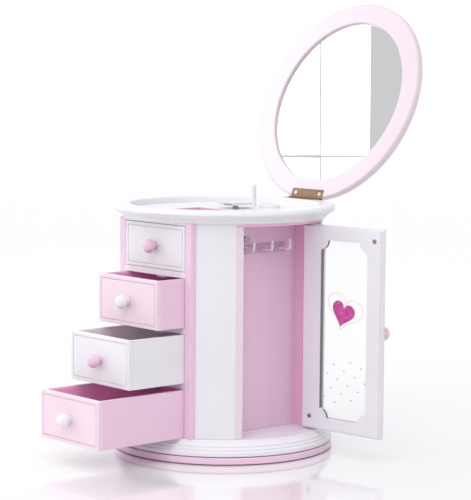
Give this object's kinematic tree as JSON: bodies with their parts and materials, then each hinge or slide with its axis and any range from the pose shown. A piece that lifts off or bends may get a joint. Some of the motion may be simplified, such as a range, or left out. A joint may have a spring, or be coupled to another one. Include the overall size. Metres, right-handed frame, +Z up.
{
  "type": "jewellery music box",
  "caption": "Round jewellery music box on a turntable: stacked drawers in front, a glazed door over a hook niche, a hinged mirror lid and a clockwork-driven stage.",
  "frame": {"origin": "centre of the felt base's underside, on the floor, on the turntable axis", "axes": "+Z up; the drawers open towards -Y, the door and niche face +X, the lid hinge is at +Y"},
  "size_m": [0.2847, 0.4039, 0.4397],
  "materials": {
    "white_paint": "satin lacquer on MDF",
    "pink_paint": "satin lacquer on MDF",
    "blush_paint": "satin lacquer on MDF",
    "magenta_felt": "flocked felt",
    "grey_felt": "felt",
    "steel": "plated steel",
    "zinc": "die-cast zinc",
    "brass": "plated brass",
    "white_plastic": "moulded nylon",
    "blush_plastic": "moulded plastic",
    "grey_magnet": "magnet in a plastic holder",
    "clear_glass": "clear pane",
    "mirror_glass": "silvered glass",
    "pink_knob": "gloss lacquer",
    "white_knob": "gloss lacquer"
  },
  "bodies": {
    "base": {"base_disc": "pink_paint", "felt_base": "grey_felt", "ball_race": "steel"},
    "case": {"race_upper_plate": "steel", "base_plate": "white_paint", "divider_left": "pink_paint", "divider_right": "pink_paint", "niche_walls": "pink_paint", "niche_ceiling": "pink_paint", "bay_ceiling": "white_paint", "drawer_shelves": "white_paint", "bay_partitions": "white_paint", "curved_columns": "white_paint", "side_panel": "white_paint", "back_panel": "white_paint", "cornice": "white_paint", "deck": "white_paint", "well_lining": "magenta_felt", "ring_dish": "white_plastic", "hinge_lower_leaf": "brass", "hinge_pin": "brass", "hinge_lower_screws": "brass", "magnet_catch": "grey_magnet", "necklace_hooks": "white_plastic", "movement_frame": "zinc", "movement_screws": "steel", "comb": "steel", "spindle_bush": "brass", "stop_spring": "steel"},
    "door": {"door_inner_frame": "white_paint", "door_outer_frame": "white_paint", "door_glass": "clear_glass", "door_pivot_pins": "brass", "door_knob": "pink_knob", "door_strike_studs": "brass"},
    "lid": {"lid_ring": "blush_paint", "lid_mirror": "mirror_glass", "lid_back_panel": "blush_paint", "hinge_upper_leaf": "brass", "hinge_upper_screws": "brass"},
    "stage": {"music_cylinder": "brass", "stage_spindle": "white_plastic", "stage_disc": "blush_plastic", "stage_mirror": "mirror_glass"},
    "barrel": {"spring_barrel": "steel"},
    "key": {"winding_key": "brass"},
    "governor": {"governor": "steel"},
    "stop_pin": {"stop_pin": "white_plastic"},
    "drawer_1": {"drawer_1_front": "white_paint", "drawer_1_box": "white_paint", "drawer_1_knob": "pink_knob"},
    "drawer_2": {"drawer_2_front": "pink_paint", "drawer_2_box": "pink_paint", "drawer_2_knob": "white_knob"},
    "drawer_3": {"drawer_3_front": "white_paint", "drawer_3_box": "white_paint", "drawer_3_knob": "pink_knob"},
    "drawer_4": {"drawer_4_front": "pink_paint", "drawer_4_box": "pink_paint", "drawer_4_knob": "white_knob"}
  },
  "joints": [
    {"name": "turntable_spin", "type": "hinge", "parent": "base", "child": "case", "pos_m": [0, 0, 0], "axis": [0, 0, 1], "continuous": true},
    {"name": "drawer_1_slide", "type": "slide", "parent": "case", "child": "drawer_1", "axis": [0, -1, 0], "range_m": [0, 0.0616]},
    {"name": "drawer_2_slide", "type": "slide", "parent": "case", "child": "drawer_2", "axis": [0, -1, 0], "range_m": [-0.033, 0.0998]},
    {"name": "drawer_3_slide", "type": "slide", "parent": "case", "child": "drawer_3", "axis": [0, -1, 0], "range_m": [-0.0663, 0.0665]},
    {"name": "drawer_4_slide", "type": "slide", "parent": "case", "child": "drawer_4", "axis": [0, -1, 0], "range_m": [-0.1017, 0.0311]},
    {"name": "door_hinge", "type": "hinge", "parent": "case", "child": "door", "pos_m": [0.0866, 0.0397, 0.124], "axis": [0, 0, 1], "range_deg": [-95.8, 20]},
    {"name": "lid_hinge", "type": "hinge", "parent": "case", "child": "lid", "pos_m": [0, 0.109, 0.2403], "axis": [1, 0, 0], "range_deg": [0, 112.8]},
    {"name": "stage_spin", "type": "hinge", "parent": "case", "child": "stage", "pos_m": [0, 0.015, 0.23], "axis": [0, 0, 1], "continuous": true},
    {"name": "barrel_spin", "type": "hinge", "parent": "case", "child": "barrel", "pos_m": [0, 0.025, 0.1942], "axis": [0, 1, 0], "continuous": true},
    {"name": "governor_spin", "type": "hinge", "parent": "case", "child": "governor", "pos_m": [-0.0183, 0.015, 0.2], "axis": [0, 0, 1], "continuous": true},
    {"name": "key_turn", "type": "hinge", "parent": "case", "child": "key", "pos_m": [0, 0.1, 0.1942], "axis": [0, 1, 0], "continuous": true},
    {"name": "stop_pin_slide", "type": "slide", "parent": "case", "child": "stop_pin", "axis": [0, 0, 1], "range_m": [-0.013, 0], "deforming": ["stop_spring"]}
  ],
  "couplings": [
    {"joint": "barrel_spin", "follows": "stage_spin", "ratio": -0.3},
    {"joint": "governor_spin", "follows": "stage_spin", "ratio": -3},
    {"joint": "stop_pin_slide", "follows": "lid_hinge", "m_per_rad": -0.0066}
  ]
}
